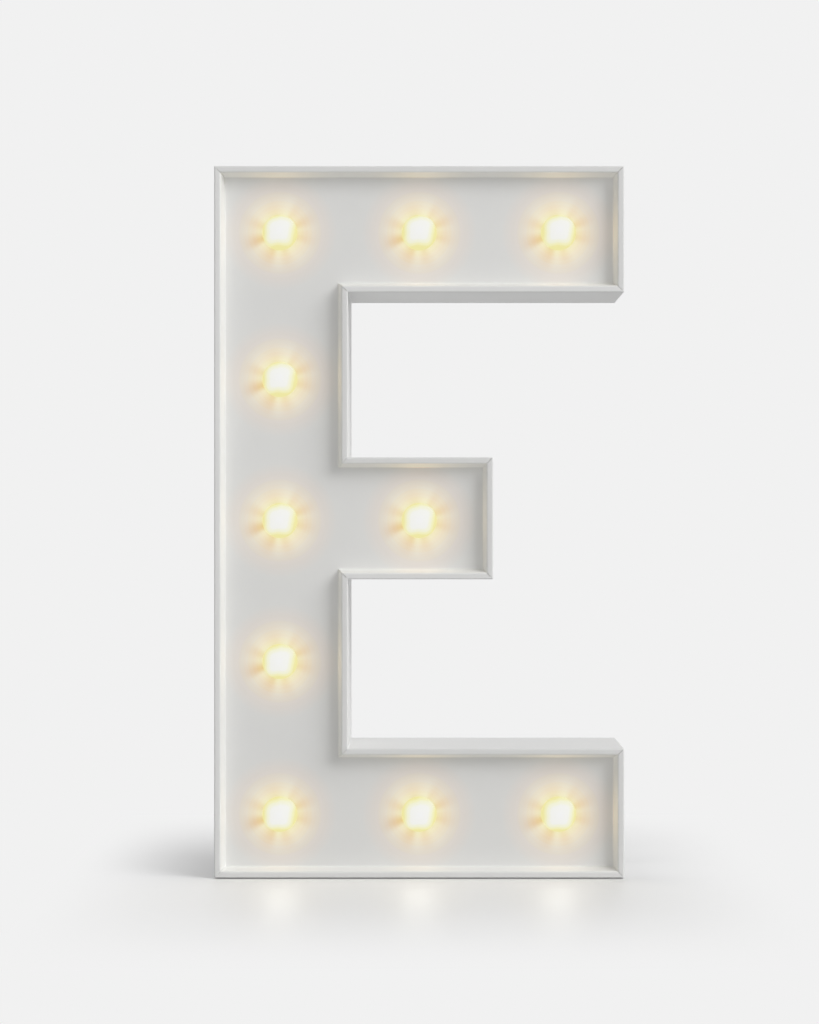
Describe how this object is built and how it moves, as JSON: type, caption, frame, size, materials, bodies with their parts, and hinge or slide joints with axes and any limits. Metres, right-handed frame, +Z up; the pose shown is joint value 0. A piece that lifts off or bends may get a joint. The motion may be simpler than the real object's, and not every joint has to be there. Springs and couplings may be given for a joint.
{
  "type": "light-up letter",
  "caption": "White plastic letter E with a recessed face and round warm lamps, battery bay, slide switch and keyhole on its back.",
  "frame": {"origin": "on the base, under the middle of the letter's width and of its whole depth with the lamp caps", "axes": "+Z up, the lamp face looks along -Y, +X towards the ends of the arms"},
  "size_m": [0.1266, 0.0458, 0.22],
  "materials": {
    "letter_white": "white satin moulded plastic",
    "lamp_cap": "clear warm-lit lamp cap",
    "led_resin": "clear epoxy, lit warm white",
    "plug_white": "plain white plastic",
    "knob_black": "black moulded plastic",
    "plated_steel": "nickel-plated steel",
    "phenolic_brown": "brown laminate board",
    "cell_jacket": "plain grey-blue printed jacket over a metal can",
    "resistor_tan": "tan lacquer",
    "wire_red": "red wire insulation",
    "wire_black": "black wire insulation",
    "solder": "bright solder"
  },
  "bodies": {
    "letter": {"front_shell": "letter_white", "back_cover": "letter_white", "switch_frame": "plated_steel", "switch_base": "phenolic_brown", "switch_terminals": "plated_steel", "switch_screws": "plated_steel", "cover_screws": "plated_steel", "battery_left": "cell_jacket", "battery_right": "cell_jacket", "contact_plus": "plated_steel", "contact_minus": "plated_steel", "contact_bridge": "plated_steel", "spring_minus": "plated_steel", "spring_bridge": "plated_steel", "resistor": "resistor_tan", "lead_battery_switch": "wire_red", "lead_switch_lamps": "wire_red", "lead_battery_lamps": "wire_black", "led_legs": "plated_steel", "solder_joints": "solder", "lamp_wires_plus": "wire_red", "lamp_wires_minus": "wire_black", "bulb_cap_1": "lamp_cap", "led_1": "led_resin", "led_plug_1": "plug_white", "bulb_cap_2": "lamp_cap", "led_2": "led_resin", "led_plug_2": "plug_white", "bulb_cap_3": "lamp_cap", "led_3": "led_resin", "led_plug_3": "plug_white", "bulb_cap_4": "lamp_cap", "led_4": "led_resin", "led_plug_4": "plug_white", "bulb_cap_5": "lamp_cap", "led_5": "led_resin", "led_plug_5": "plug_white", "bulb_cap_6": "lamp_cap", "led_6": "led_resin", "led_plug_6": "plug_white", "bulb_cap_7": "lamp_cap", "led_7": "led_resin", "led_plug_7": "plug_white", "bulb_cap_8": "lamp_cap", "led_8": "led_resin", "led_plug_8": "plug_white", "bulb_cap_9": "lamp_cap", "led_9": "led_resin", "led_plug_9": "plug_white", "bulb_cap_10": "lamp_cap", "led_10": "led_resin", "led_plug_10": "plug_white"},
    "knob": {"switch_knob": "knob_black"},
    "door": {"battery_door": "letter_white"},
    "latch": {"door_latch": "letter_white"}
  },
  "joints": [
    {"name": "switch_slide", "type": "slide", "parent": "letter", "child": "knob", "axis": [-1, 0, 0], "range_m": [0, 0.004]},
    {"name": "battery_door_hinge", "type": "hinge", "parent": "letter", "child": "door", "pos_m": [-0.0427, 0.01675, 0.107], "axis": [1, 0, 0], "range_deg": [0, 90]},
    {"name": "door_latch_flex", "type": "hinge", "parent": "door", "child": "latch", "pos_m": [-0.0427, 0.01295, 0.0375], "axis": [1, 0, 0], "range_deg": [0, 14], "stiffness_Nm_per_rad": 0.15}
  ]
}
